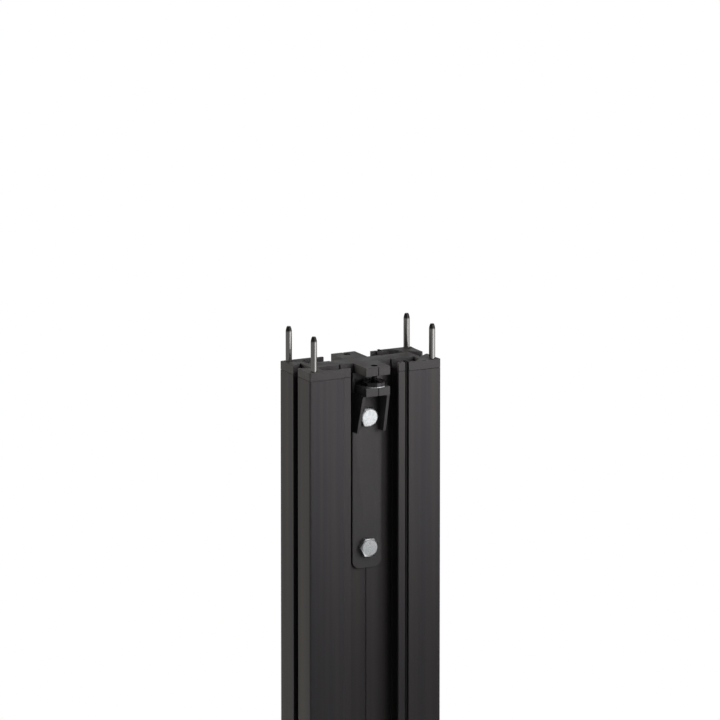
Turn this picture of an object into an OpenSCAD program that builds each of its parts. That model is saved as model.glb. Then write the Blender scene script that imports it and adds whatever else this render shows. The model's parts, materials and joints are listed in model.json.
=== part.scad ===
// Lighting truss section: a black extruded beam of two slotted columns and a
// hollow web, with keyed end plates, alignment pins, bolted coupling brackets
// and captive coupling screws. Millimetres, +Z up, X across the two columns,
// Y from front to back, origin at the middle of the lower end face.

/* [Beam] */
// Distance between the two end faces
section_length = 600; // [520:10:3000]
// Width across both columns
beam_width = 140; // [132:1:180]
// Depth between the front and back faces
beam_depth = 62; // [60:1:76]
// Clear gap between the left and right flanges
flange_gap = 51; // [46:1:56]
// Wall of the front and back flanges
flange_wall = 3; // [2.4:0.1:3.6]
// Width of the solid part of a column, from its side face to the channel
column_width = 18; // [17:0.5:24]
// Bevel across the inner corner of a column
channel_corner = 7; // [5:0.5:8]
// Radius of the outer corners
corner_radius = 2; // [1:0.25:3]
// Width of the flared band along each edge of a side face
flare_band = 10; // [8:0.5:12]
// How far the middle of a side face lies behind its edges
flare_depth = 0.8; // [0.4:0.1:1.2]
// Depth of the hollow web
web_depth = 21; // [18:0.5:24]
// Wall of the hollow web
web_wall = 3; // [2.4:0.1:4]
// Least wall round the hollow cells of a column
column_wall = 2.5; // [2:0.1:3]

/* [Lips and grooves] */
// Width of the inner lip of the left flanges
left_lip_width = 7.6; // [6:0.1:9]
// Width of the inner lip of the right flanges
right_lip_width = 7; // [6:0.1:9]
// How far the lips lie behind the flange faces
lip_recess = 1.5; // [0.8:0.1:2]
// Width of the seal groove in the right column
seal_groove_width = 3.1; // [2.6:0.1:4]
// Depth of the seal groove
seal_groove_depth = 6.2; // [5:0.1:7]
// Wall round the seal groove
seal_groove_wall = 1.8; // [1.4:0.1:2.4]
// Width of the scribed line beside the left lip
scribe_width = 0.8; // [0.6:0.1:1.2]
// Width of the centre line groove down the web
centre_groove_width = 1.7; // [1:0.1:2.4]
// Width of the two key grooves in each web face
key_groove_width = 1.8; // [1.2:0.1:2.4]
// Depth of the key grooves
key_groove_depth = 2.2; // [1.5:0.1:3]
// Distance of a key groove from the middle
key_groove_x = 27.3; // [26:0.1:32]

/* [Side slots] */
// Width of the mouth of a side slot
slot_mouth = 9.6; // [8:0.1:11]
// Thickness of the slot's lips
slot_lip = 1.8; // [1.5:0.1:2.5]
// Depth of a side slot from the side face
slot_depth = 13; // [11.5:0.1:13.5]
// Width of the floor of a side slot
slot_floor = 26; // [22:0.5:27]

/* [End plates] */
// Thickness of an end plate
plate_thickness = 8.5; // [6:0.5:12]
// Depth of the plate's bridge between the columns
plate_bridge_depth = 20; // [17:0.5:24]
// Width of the two arms
arm_width = 25.5; // [22:0.5:29]
// How far the arms stand out past the beam's faces
arm_overhang = 5.5; // [4:0.5:8]
// Distance of the screw hole from an arm's front edge
screw_edge = 8.5; // [7:0.5:9.5]
// Width of the witness groove on the arm and shelf fronts
front_groove_width = 1.4; // [1:0.1:2]
// Depth of that witness groove
front_groove_depth = 0.8; // [0.5:0.1:1.2]

/* [Alignment pins] */
// Diameter of a pin
pin_diameter = 6; // [5.5:0.5:6.5]
// Diameter of a pin's threaded root
pin_root_diameter = 5; // [4:0.5:5]
// Height of a pin above the end plate
pin_height = 34; // [20:1:45]
// Length of the tapered nose
pin_nose = 5.5; // [3:0.5:8]
// How far a pin reaches below the end face
pin_root = 20; // [14:1:40]
// Distance of a pin's axis from the beam's side
pin_from_side = 7; // [6:0.5:8]
// Distance of a pin's axis from the beam's front or back
pin_from_face = 5; // [4.8:0.1:6]

/* [Coupling brackets] */
// Width of the strap
strap_width = 31; // [28:0.5:36]
// Thickness of the strap
strap_thickness = 3; // [2.5:0.1:4]
// Length of the strap from the plate to its rounded end
strap_length = 191.5; // [176:0.5:200]
// Radius of the strap's rounded corners
strap_corner = 8; // [4:0.5:12]
// Thickness of the two cheeks
cheek_thickness = 3; // [2.5:0.1:4]
// Height of the cheeks under the shelf block
cheek_height = 38; // [30:1:45]
// How far the cheeks stand out from the strap at their foot
cheek_foot = 9; // [6:0.5:12]
// Distance of the cheek tops behind the shelf front
cheek_setback = 3.5; // [2:0.5:6]
// Inward lean of the cheeks in degrees
cheek_lean = 1.7; // [0:0.1:2]
// Clear gap between the plate and the shelf block
shelf_gap = 11; // [9.5:0.5:14]
// Height of the shelf block
shelf_height = 8.5; // [7:0.5:12]

/* [Through bolts] */
// Diameter of a bolt
bolt_diameter = 10; // [8:1:10]
// Width across the flats of heads and nuts
hex_flats = 17; // [16:0.5:18]
// Height of a bolt head
head_height = 6.4; // [5:0.1:7]
// Height of a nut
nut_height = 8.4; // [7:0.1:9]
// Diameter of a washer
washer_diameter = 20; // [19:0.5:22]
// Thickness of a washer
washer_thickness = 2; // [1.5:0.1:2.5]
// Length of bolt standing out of its nut
bolt_stub = 2.6; // [1:0.1:5]
// Diameter of a spacer sleeve
sleeve_diameter = 16; // [14:0.5:20]
// Distance of the first bolt from the end face
first_bolt = 52; // [46:1:58]
// Distance of the second bolt from the strap's rounded end
bolt_from_end = 21; // [16:1:30]

/* [Coupling screws] */
// Diameter of the hand wheel
wheel_diameter = 22.4; // [20:0.2:24]
// Thickness of the hand wheel
wheel_thickness = 4; // [3:0.1:5]
// Bevel on the wheel's edges
wheel_bevel = 0.5; // [0.2:0.1:1]
// Diameter of the screw's shank
shank_diameter = 6; // [5:0.5:6]
// Depth of the shank's end below the end face at rest
shank_sink = 1; // [0.5:0.1:2]
// Thickness of the thrust washer
thrust_thickness = 1; // [0.6:0.1:1.5]
// Diameter of the threaded inserts in the lower arms
insert_diameter = 9; // [8:0.5:10]
// Flange height of a threaded insert
insert_flange = 1; // [0.8:0.1:1.5]

/* [Seal strips] */
// Height of a seal strip across its groove
seal_height = 4.6; // [3:0.1:4.8]
// How far a seal strip stands out of the upper end face
seal_proud = 1; // [0.5:0.1:2]

/* [Clearances] */
// Radial clearance of bolts, sleeves and washers
bolt_clearance = 0.25; // [0.1:0.05:0.4]
// Radial clearance of the coupling screw in arm and shelf
screw_clearance = 0.3; // [0.3:0.05:0.5]
// Radial running clearance of the thrust washer on its shank
thrust_clearance = 0.05; // [0.02:0.01:0.1]
// Radial clearance of the ports that take the pins along the beam
port_clearance = 0.4; // [0.3:0.05:0.5]
// Radial sliding clearance of the dowel bores
dowel_clearance = 0.05; // [0.03:0.01:0.1]
// Side clearance of a seal strip in its groove
seal_clearance = 0.2; // [0.1:0.05:0.4]

/* [Hidden] */
$fn = 64;
TOP = 1;
BOTTOM = -1;
FRONT = -1;
BACK = 1;
LEFT = -1;
RIGHT = 1;
UPPER = 0;
LOWER = 1;

cut = 1;
half_width = beam_width / 2;
half_depth = beam_depth / 2;
half_gap = flange_gap / 2;
wall_x = half_width - column_width;
web_face = web_depth / 2;
flange_inner = half_depth - flange_wall;
lip_face = half_depth - lip_recess;
lip_inner = flange_inner - lip_recess;
left_lip_x = half_gap + left_lip_width;
seal_x = half_gap + right_lip_width;
seal_floor = half_depth - seal_groove_depth;
slot_floor_x = half_width - slot_depth;
slot_lip_x = half_width - flare_depth - slot_lip;
cell_rib = 4;
pin_x = half_width - pin_from_side;
pin_y = half_depth - pin_from_face;
pin_port = pin_diameter / 2 + port_clearance;
pin_boss = pin_port + 2.2;
pin_tip = 0.74;

arm_front = half_depth + arm_overhang;
screw_y = arm_front - screw_edge;
strap_face = web_face + strap_thickness;
shelf_top = plate_thickness + shelf_gap;
shelf_bottom = shelf_top + shelf_height;
cheek_front = arm_front - cheek_setback;
shank_radius = shank_diameter / 2;
screw_hole = shank_radius + screw_clearance;
bolt_hole = bolt_diameter / 2 + bolt_clearance;
bolt_pitch = plate_thickness + strap_length - bolt_from_end - first_bolt;
bolt_length = 2 * strap_face + washer_thickness + nut_height + bolt_stub;
wheel_base = shelf_top - thrust_thickness;
stem_sink = 0.5;
hex_bevel = 0.94;
end_bevel = 0.8;

anodised = "#3a3838";
coated = "#343233";
zinc = "#c9cbcd";
pin_steel = "#a9abad";
burnished = "#2c2b2c";
seal_black = "#171717";

// ---- Placing ----

// Both halves, front and back, of a shape drawn on the back side
module front_and_back() {
    for (side = [0, 1]) {
        mirror([0, side, 0]) children();
    }
}

// A shape drawn at the upper back, with its depth below the end face as -Z
module at_end(end, side) {
    translate([0, 0, end == TOP ? section_length : 0]) {
        mirror([0, 0, end == TOP ? 0 : 1]) {
            mirror([0, side == BACK ? 0 : 1, 0]) children();
        }
    }
}

// Height of a bolt's axis
function bolt_height(end, row) =
    let (depth = first_bolt + ((end == TOP) == (row == UPPER) ? 0 : bolt_pitch))
    end == TOP ? section_length - depth : depth;

// ---- The beam's section ----

// What rounds off an outer corner in the first quadrant
module corner_cut(x, y, radius) {
    translate([x - radius, y - radius]) {
        difference() {
            square(2 * radius);
            circle(radius);
        }
    }
}

// The outlines below run from the middle of the back face, round one quarter
// of the section, to the floor of the side slot

// The web face with its key groove, and the open channel behind the flange
function channel_points(web_half) = [
    [key_groove_x - key_groove_width / 2, web_half],
    [key_groove_x - key_groove_width / 2, web_half - key_groove_depth],
    [key_groove_x + key_groove_width / 2, web_half - key_groove_depth],
    [key_groove_x + key_groove_width / 2, web_half],
    [wall_x, web_half],
    [wall_x, flange_inner - channel_corner],
    [wall_x - channel_corner, flange_inner]
];

// The right flange's end: the seal groove in its thickened back, and the lip
function seal_lip_points() = [
    [seal_x + seal_groove_width + seal_groove_wall, flange_inner],
    [seal_x + seal_groove_width + seal_groove_wall, seal_floor - seal_groove_wall],
    [seal_x - seal_groove_wall, seal_floor - seal_groove_wall],
    [seal_x - seal_groove_wall, lip_inner],
    [half_gap, lip_inner],
    [half_gap, lip_face],
    [seal_x, lip_face],
    [seal_x, seal_floor],
    [seal_x + seal_groove_width, seal_floor],
    [seal_x + seal_groove_width, half_depth]
];

// The left flange's end: the plain lip and the scribed line beside it
function plain_lip_points() = [
    [left_lip_x, flange_inner],
    [left_lip_x, lip_inner],
    [half_gap, lip_inner],
    [half_gap, lip_face],
    [left_lip_x, lip_face],
    [left_lip_x, half_depth - scribe_width / 2],
    [left_lip_x + scribe_width / 2, half_depth - scribe_width / 2],
    [left_lip_x + scribe_width, half_depth]
];

// The outer corner, the flared side face and the side slot
function side_points() = [
    [half_width, half_depth],
    [half_width - flare_depth, half_depth - flare_band],
    [half_width - flare_depth, slot_mouth / 2],
    [slot_lip_x, slot_mouth / 2],
    [slot_floor_x, slot_floor / 2]
];

// Points mirrored across X or Y, and points in the opposite order
function flipped(points, x, y) = [for (point = points) [x * point.x, y * point.y]];
function reversed(points) = [for (i = [len(points) - 1 : -1 : 0]) points[i]];

// The whole section, with the points that begin each quarter at the middle
module section_2d(middle_points, web_half) {
    right = concat(middle_points, channel_points(web_half), seal_lip_points(), side_points());
    left = concat(middle_points, channel_points(web_half), plain_lip_points(), side_points());
    difference() {
        polygon(concat(
            right,
            reversed(flipped(right, 1, -1)),
            flipped(left, -1, -1),
            reversed(flipped(left, -1, 1))
        ));
        in_four_corners() corner_cut(half_width, half_depth, corner_radius);
    }
}

// The closed cells of the web
module web_cells_2d() {
    inner = web_face - web_wall;
    rib_near = key_groove_x - cell_rib / 2;
    rib_far = key_groove_x + cell_rib / 2;
    cell_end = slot_floor_x - web_wall;
    translate([-rib_near, -inner]) square([2 * rib_near, 2 * inner]);
    for (side = [0, 1]) {
        mirror([side, 0]) {
            translate([rib_far, -inner]) square([cell_end - rib_far, 2 * inner]);
        }
    }
}

// The closed cell in one corner of a column, drawn in the first quadrant
module column_cell_2d() {
    run = slot_lip_x - slot_floor_x;
    rise = (slot_floor - slot_mouth) / 2;
    slant = sqrt(run * run + rise * rise);
    start_x = slot_floor_x + column_wall * rise / slant;
    start_y = slot_floor / 2 + column_wall * run / slant;
    cell_inner = wall_x + column_wall;
    cell_outer = half_width - flare_depth - column_wall;
    bevel_sum = wall_x - channel_corner + flange_inner + column_wall * sqrt(2);
    difference() {
        polygon([
            [cell_inner, start_y + 1],
            [start_x, start_y],
            [cell_outer, start_y - (cell_outer - start_x) * rise / run],
            [cell_outer, flange_inner],
            [bevel_sum - flange_inner, flange_inner],
            [cell_inner, bevel_sum - cell_inner]
        ]);
        translate([pin_x, pin_y]) circle(pin_boss);
    }
}

// Something drawn in the first quadrant, in all four corners
module in_four_corners() {
    for (side = [0, 1]) {
        mirror([side, 0, 0]) front_and_back() children();
    }
}

// ---- Beam and end plates ----

// The scribed line down the middle of the beam's web
function centre_groove_points() = [
    [0.1, web_face - centre_groove_width / 2],
    [centre_groove_width / 2, web_face]
];

module beam_extrusion() {
    color(anodised) difference() {
        translate([0, 0, plate_thickness]) {
            linear_extrude(section_length - 2 * plate_thickness) difference() {
                section_2d(centre_groove_points(), web_face);
                web_cells_2d();
                in_four_corners() column_cell_2d();
                in_four_corners() translate([pin_x, pin_y]) circle(pin_port);
            }
        }
        for (end = [TOP, BOTTOM], row = [UPPER, LOWER]) {
            translate([0, 0, bolt_height(end, row)]) rotate([90, 0, 0]) {
                cylinder(h = web_depth + 2 * cut, r = bolt_hole, center = true);
            }
        }
    }
}

// The arm of an end plate, with the witness groove in its front
function arm_points() = [
    [front_groove_width / 2, arm_front - front_groove_depth],
    [front_groove_width / 2, arm_front],
    [arm_width / 2, arm_front],
    [arm_width / 2, plate_bridge_depth / 2]
];

module end_plate(pin_hole, arm_hole) {
    linear_extrude(plate_thickness) difference() {
        section_2d(arm_points(), plate_bridge_depth / 2);
        in_four_corners() translate([pin_x, pin_y]) circle(pin_hole);
        front_and_back() translate([0, screw_y]) circle(arm_hole);
    }
}

// The pin holes are countersunk out to the pins' own diameter at the face
module end_plate_top() {
    root_radius = pin_root_diameter / 2;
    sink = pin_diameter / 2 - root_radius;
    color(coated) translate([0, 0, section_length - plate_thickness]) difference() {
        end_plate(root_radius, screw_hole);
        in_four_corners() translate([pin_x, pin_y, plate_thickness - sink]) {
            cylinder(h = sink + cut, r1 = root_radius, r2 = root_radius + sink + cut);
        }
    }
}

module end_plate_bottom() {
    color(coated) end_plate(pin_diameter / 2 + dowel_clearance, insert_diameter / 2);
}

module alignment_pin(x_side, y_side) {
    radius = pin_diameter / 2;
    root_radius = pin_root_diameter / 2;
    shoulder = 0.75 * pin_nose;
    color(pin_steel) translate([x_side * pin_x, y_side * pin_y, section_length]) {
        rotate_extrude() polygon([
            [0, -pin_root],
            [root_radius - end_bevel, -pin_root],
            [root_radius, end_bevel - pin_root],
            [root_radius, 0],
            [radius, 0],
            [radius, pin_height - pin_nose],
            [radius * (1 + 2 * pin_tip) / 3, pin_height - pin_nose + shoulder],
            [radius * pin_tip * 0.8, pin_height],
            [0, pin_height]
        ]);
    }
}

module seal_strip(side) {
    color(seal_black) mirror([0, side == BACK ? 0 : 1, 0]) {
        translate([seal_x + seal_clearance, seal_floor, seal_proud]) {
            cube([seal_groove_width - 2 * seal_clearance, seal_height, section_length]);
        }
    }
}

// ---- Coupling brackets ----

module strap_2d() {
    difference() {
        translate([-strap_width / 2, -plate_thickness - strap_length]) {
            square([strap_width, strap_length]);
        }
        for (side = [0, 1]) {
            mirror([side, 0]) translate([0, -plate_thickness - strap_length]) {
                mirror([0, 1]) corner_cut(strap_width / 2, 0, strap_corner);
            }
        }
        for (depth = [first_bolt, first_bolt + bolt_pitch]) {
            translate([0, -depth]) circle(bolt_hole);
        }
    }
}

// One leaning cheek on the right, running up to the shelf block
module cheek() {
    foot = shelf_bottom + cheek_height;
    root = strap_face - strap_thickness / 2;
    foot_front = strap_face + cheek_foot;
    intersection() {
        translate([strap_width / 2, 0, -foot]) rotate([0, -cheek_lean, 0]) {
            translate([-cheek_thickness, 0, 0]) rotate([90, 0, 90]) {
                linear_extrude(cheek_thickness) polygon([
                    [root, 0],
                    [foot_front - end_bevel, 0],
                    [foot_front, end_bevel],
                    [cheek_front, cheek_height],
                    [cheek_front, cheek_height + cut],
                    [root, cheek_height + cut]
                ]);
            }
        }
        translate([0, 0, -foot - cut]) cube([strap_width, arm_front, cheek_height + cut]);
    }
}

module coupling_bracket(end, side) {
    color(coated) at_end(end, side) {
        translate([0, strap_face, 0]) rotate([90, 0, 0]) {
            linear_extrude(strap_thickness) strap_2d();
        }
        for (half = [0, 1]) {
            mirror([half, 0, 0]) cheek();
        }
    }
}

module shelf_block(end, side) {
    color(coated) at_end(end, side) {
        translate([0, 0, -shelf_bottom]) linear_extrude(shelf_height) difference() {
            difference() {
                translate([-arm_width / 2, strap_face]) {
                    square([arm_width, arm_front - strap_face]);
                }
                translate([-front_groove_width / 2, arm_front - front_groove_depth]) {
                    square([front_groove_width, front_groove_depth + cut]);
                }
            }
            translate([0, screw_y]) circle(screw_hole);
        }
    }
}

// ---- Through bolts ----

// A hexagon of bars with its outer corners bevelled
module hex_body(height) {
    corner = hex_flats / cos(30) / 2;
    intersection() {
        cylinder(h = height, r = corner, $fn = 6);
        union() {
            cylinder(h = height - end_bevel, r = corner + cut);
            translate([0, 0, height - end_bevel]) {
                cylinder(h = end_bevel, r1 = corner, r2 = hex_flats / 2 * hex_bevel);
            }
        }
    }
}

// Something drawn along +Z, laid along the bolt's axis from the front strap
module on_bolt_axis(end, row, along) {
    translate([0, along - strap_face, bolt_height(end, row)]) {
        rotate([-90, 0, 0]) children();
    }
}

module through_bolt(end, row) {
    radius = bolt_diameter / 2;
    color(zinc) {
        on_bolt_axis(end, row, 0) mirror([0, 0, 1]) hex_body(head_height);
        on_bolt_axis(end, row, 0) {
            cylinder(h = bolt_length - end_bevel, r = radius);
            translate([0, 0, bolt_length - end_bevel]) {
                cylinder(h = end_bevel, r1 = radius, r2 = radius - end_bevel);
            }
        }
    }
}

module ring(height, outer, inner) {
    difference() {
        cylinder(h = height, r = outer);
        translate([0, 0, -cut]) cylinder(h = height + 2 * cut, r = inner);
    }
}

module bolt_washer(end, row) {
    color(zinc) on_bolt_axis(end, row, 2 * strap_face) {
        ring(washer_thickness, washer_diameter / 2, bolt_hole);
    }
}

module bolt_nut(end, row) {
    color(zinc) on_bolt_axis(end, row, 2 * strap_face + washer_thickness) {
        difference() {
            hex_body(nut_height);
            translate([0, 0, -cut]) cylinder(h = nut_height + 2 * cut, r = bolt_diameter / 2);
        }
    }
}

module spacer_sleeve(end, row) {
    color(zinc) on_bolt_axis(end, row, strap_thickness + web_wall) {
        ring(web_depth - 2 * web_wall, sleeve_diameter / 2, bolt_hole);
    }
}

// ---- Coupling screws ----

module thrust_washer(side) {
    color(zinc) at_end(TOP, side) translate([0, screw_y, -shelf_top]) {
        ring(thrust_thickness, wheel_diameter / 2, shank_radius + thrust_clearance);
    }
}

module coupling_screw(side) {
    rim = wheel_diameter / 2;
    wheel_top = wheel_thickness - wheel_base;
    color(burnished) at_end(TOP, side) translate([0, screw_y, 0]) {
        rotate_extrude() polygon([
            [0, stem_sink - shelf_bottom],
            [shank_radius - end_bevel, stem_sink - shelf_bottom],
            [shank_radius, stem_sink + end_bevel - shelf_bottom],
            [shank_radius, -wheel_base],
            [rim - wheel_bevel, -wheel_base],
            [rim, wheel_bevel - wheel_base],
            [rim, wheel_top - wheel_bevel],
            [rim - wheel_bevel, wheel_top],
            [shank_radius, wheel_top],
            [shank_radius, -shank_sink - end_bevel],
            [shank_radius - end_bevel, -shank_sink],
            [0, -shank_sink]
        ]);
    }
}

module thread_insert(side) {
    bore = shank_radius - 0.5;
    color(zinc) at_end(BOTTOM, side) translate([0, screw_y, 0]) mirror([0, 0, 1]) {
        ring(plate_thickness, insert_diameter / 2, bore);
        translate([0, 0, plate_thickness]) {
            ring(insert_flange, insert_diameter / 2 + insert_flange, bore);
        }
    }
}

// ---- Nodes ----

beam_extrusion();
end_plate_top();
end_plate_bottom();
alignment_pin(LEFT, FRONT);  // alignment_pin_front_left
alignment_pin(RIGHT, FRONT);  // alignment_pin_front_right
alignment_pin(LEFT, BACK);  // alignment_pin_back_left
alignment_pin(RIGHT, BACK);  // alignment_pin_back_right
coupling_bracket(TOP, FRONT);  // bracket_top_front
coupling_bracket(TOP, BACK);  // bracket_top_back
coupling_bracket(BOTTOM, FRONT);  // bracket_bottom_front
coupling_bracket(BOTTOM, BACK);  // bracket_bottom_back
shelf_block(TOP, FRONT);  // shelf_block_top_front
shelf_block(TOP, BACK);  // shelf_block_top_back
shelf_block(BOTTOM, FRONT);  // shelf_block_bottom_front
shelf_block(BOTTOM, BACK);  // shelf_block_bottom_back
through_bolt(TOP, UPPER);  // bolt_top_upper
through_bolt(TOP, LOWER);  // bolt_top_lower
through_bolt(BOTTOM, UPPER);  // bolt_bottom_upper
through_bolt(BOTTOM, LOWER);  // bolt_bottom_lower
bolt_nut(TOP, UPPER);  // nut_top_upper
bolt_nut(TOP, LOWER);  // nut_top_lower
bolt_nut(BOTTOM, UPPER);  // nut_bottom_upper
bolt_nut(BOTTOM, LOWER);  // nut_bottom_lower
bolt_washer(TOP, UPPER);  // washer_top_upper
bolt_washer(TOP, LOWER);  // washer_top_lower
bolt_washer(BOTTOM, UPPER);  // washer_bottom_upper
bolt_washer(BOTTOM, LOWER);  // washer_bottom_lower
spacer_sleeve(TOP, UPPER);  // sleeve_top_upper
spacer_sleeve(TOP, LOWER);  // sleeve_top_lower
spacer_sleeve(BOTTOM, UPPER);  // sleeve_bottom_upper
spacer_sleeve(BOTTOM, LOWER);  // sleeve_bottom_lower
thrust_washer(FRONT);  // thrust_washer_front
thrust_washer(BACK);  // thrust_washer_back
coupling_screw(FRONT);  // coupling_screw_front
coupling_screw(BACK);  // coupling_screw_back
seal_strip(FRONT);  // seal_strip_front
seal_strip(BACK);  // seal_strip_back
thread_insert(FRONT);  // thread_insert_front
thread_insert(BACK);  // thread_insert_back
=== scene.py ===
"""The looks of a lighting truss section, laid out as an add-on and run as a script.

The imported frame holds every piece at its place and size, in metres. Each operator below
dresses one kind of piece: it breaks the edges of a machined or extruded one, or turns and
threads a round one, gives it the finish of the real metal, and lets it ride on its body.
"""

import json
import math

import bmesh
import bpy
from bpy.props import FloatProperty, FloatVectorProperty, IntProperty, PointerProperty
from bpy.types import Operator, Panel, PropertyGroup
from mathutils import Matrix, Vector

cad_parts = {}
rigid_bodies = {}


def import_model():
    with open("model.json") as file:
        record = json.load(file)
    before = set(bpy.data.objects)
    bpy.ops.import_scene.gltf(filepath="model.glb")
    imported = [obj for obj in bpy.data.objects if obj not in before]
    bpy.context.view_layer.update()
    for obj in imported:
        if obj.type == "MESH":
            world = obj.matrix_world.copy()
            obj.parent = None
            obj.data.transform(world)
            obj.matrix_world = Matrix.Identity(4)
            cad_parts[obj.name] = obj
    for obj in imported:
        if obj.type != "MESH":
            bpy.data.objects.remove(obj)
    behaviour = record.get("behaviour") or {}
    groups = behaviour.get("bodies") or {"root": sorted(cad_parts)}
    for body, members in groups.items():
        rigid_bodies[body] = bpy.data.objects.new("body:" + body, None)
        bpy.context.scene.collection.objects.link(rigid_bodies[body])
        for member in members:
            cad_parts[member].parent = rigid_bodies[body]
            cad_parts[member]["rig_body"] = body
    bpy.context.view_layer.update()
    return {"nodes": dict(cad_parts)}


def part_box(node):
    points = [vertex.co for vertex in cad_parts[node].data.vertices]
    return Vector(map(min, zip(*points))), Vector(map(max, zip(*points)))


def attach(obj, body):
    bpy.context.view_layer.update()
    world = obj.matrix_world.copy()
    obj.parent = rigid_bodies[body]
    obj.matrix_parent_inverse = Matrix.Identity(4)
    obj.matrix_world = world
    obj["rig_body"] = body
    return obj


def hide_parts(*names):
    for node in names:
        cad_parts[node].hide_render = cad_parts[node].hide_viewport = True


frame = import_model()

bl_info = {
    "name": "Lighting Truss Section",
    "version": (1, 0, 0),
    "blender": (4, 5, 0),
    "location": "3D View > Sidebar > Truss",
    "description": "Dresses a slotted truss section with its end plates, pins and coupling screws",
    "category": "Object",
}

MM = 0.001

ENDS = ("top", "bottom")
SIDES = ("front", "back")
HANDS = ("left", "right")
ROWS = ("upper", "lower")

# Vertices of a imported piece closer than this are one.
WELD_DISTANCE = 0.05 * MM
# Where a turned or extruded outline meets itself, vertices closer than this are one.
SEAM_DISTANCE = 0.001 * MM
# Faces turned by less than this are one flat.
FLAT_TURN = math.radians(0.6)
# An edge that turns by more than this is a real corner, and is broken.
CORNER_TURN = math.radians(22)
# A finished edge that turns by more than this is shaded sharp.
SHARP_TURN = math.radians(17)
# Coated faces this close to a coupling screw's axis are the wall of its bore.
BORE_REACH = 3.4 * MM
# The table's radius, how far it lies below the section, its grey for matt light, and what it
# glows with where the camera or gloss sees it.
TABLE_RADIUS = 0.6
TABLE_DROP = 0.2 * MM
PAPER_GREY = 0.5
PAPER_GLOW = 0.8
# How far the white backdrop stands above the horizon, and where it fades in: the dot product of
# a ray with the backdrop's direction, which is 1.03 long.
BACKDROP_RISE = 0.25
BACKDROP_FADE = (0.93, 1.03)
# A thread's depth as a share of its pitch.
THREAD_DEPTH = 0.61
# Turns what is made along +Z to lie along +Y.
ALONG_Y = Matrix.Rotation(math.radians(-90), 4, "X")

# Each lamp's name, bearing in degrees, distance, height and the height that it faces, its
# width and height, all in metres, and its beam in degrees. The stage holds its power.
LAMPS = (
    # Near the upper end, so that its light falls off down the section.
    ("key_lamp", 23, 0.6, 0.78, 0.72, (0.4, 0.5), 100),
    # Keeps the lower end from going dark.
    ("low_lamp", 10, 0.45, 0.06, 0.03, (0.6, 0.1), 60),
    # What the metal mirrors in the key lamp's place, a little brighter than the white behind.
    ("key_card", 23, 0.6, 0.7, 0.7, (0.4, 0.8), 180),
    ("side_panel", 72, 1.1, 0.6, 0.6, (1.0, 1.0), 180),
    # From behind the left flange, which keeps it out of the web's channel.
    ("fill_lamp", -122, 1.5, 1.05, 0.6, (1.2, 1.2), 180),
    # Below the end plate's top, which it would only graze.
    ("back_lamp", 142, 1.3, 0.3, 0.3, (0.9, 0.5), 180),
)
UNSEEN_IN_GLOSS = ("key_lamp", "low_lamp", "fill_lamp", "back_lamp")
FILL_COLOUR = "#fdfff2"


def linear(hex_colour):
    """An sRGB colour such as "#3a3838" as linear red, green and blue."""
    channels = [int(hex_colour[i : i + 2], 16) / 255 for i in (1, 3, 5)]
    return [c / 12.92 if c <= 0.04045 else ((c + 0.055) / 1.055) ** 2.4 for c in channels]


# ---- What a user would change ----


def length(label, text, default_mm, low_mm=0.0, high_mm=100.0):
    """A length property, given in millimetres."""
    return FloatProperty(
        name=label,
        description=text,
        default=default_mm * MM,
        min=low_mm * MM,
        max=high_mm * MM,
        subtype="DISTANCE",
        unit="LENGTH",
    )


def colour(label, text, hex_colour):
    """A colour property, given as an sRGB hex value."""
    return FloatVectorProperty(
        name=label,
        description=text,
        default=linear(hex_colour),
        min=0.0,
        max=1.0,
        size=3,
        subtype="COLOR",
    )


def power(label, text, default_w):
    """A lamp's power, given in watts."""
    return FloatProperty(
        name=label,
        description=text,
        default=default_w,
        min=0.0,
        unit="POWER",
    )


class TrussSizes(PropertyGroup):
    """Sizes that the finished pieces add to the frame's own."""

    beam_break: length("Beam edge", "Broken edge of the extrusion", 0.22, 0.05, 0.5)
    plate_break: length("Plate edge", "Broken edge of the machined plates", 0.22, 0.05, 0.5)
    seam_gap: length("Seam gap", "Height of the gap round a plate's seat", 0.45, 0.2, 1.0)
    seam_depth: length("Seam depth", "How far that gap reaches in", 0.6, 0.2, 0.8)
    strap_break: length("Strap edge", "Rounded edge of the brackets", 0.35, 0.1, 0.8)
    turned_break: length("Turned edge", "Broken edge of turned pieces", 0.25, 0.05, 0.6)
    hex_flats: length("Across flats", "Width across the flats of heads and nuts", 17.0, 13.0, 19.0)
    bolt_thread: length("Bolt thread", "Outer diameter of the bolts' thread", 10.0, 8.0, 10.0)
    bolt_pitch: length("Bolt pitch", "Pitch of the bolts' thread", 1.5, 1.0, 2.0)
    screw_thread: length("Screw thread", "Outer diameter of the coupling thread", 6.0, 5.0, 6.0)
    screw_pitch: length("Screw pitch", "Pitch of the coupling screws' thread", 1.0, 0.75, 1.5)
    wheel_thickness: length("Wheel", "Thickness of a hand wheel's rim", 4.0, 3.0, 5.0)
    pin_nose: length("Pin nose", "Length of an alignment pin's tapered nose", 5.5, 3.0, 8.0)
    turn_steps: IntProperty(
        name="Turning steps",
        description="Faces round a turned piece",
        default=96,
        min=32,
        max=192,
    )


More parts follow.
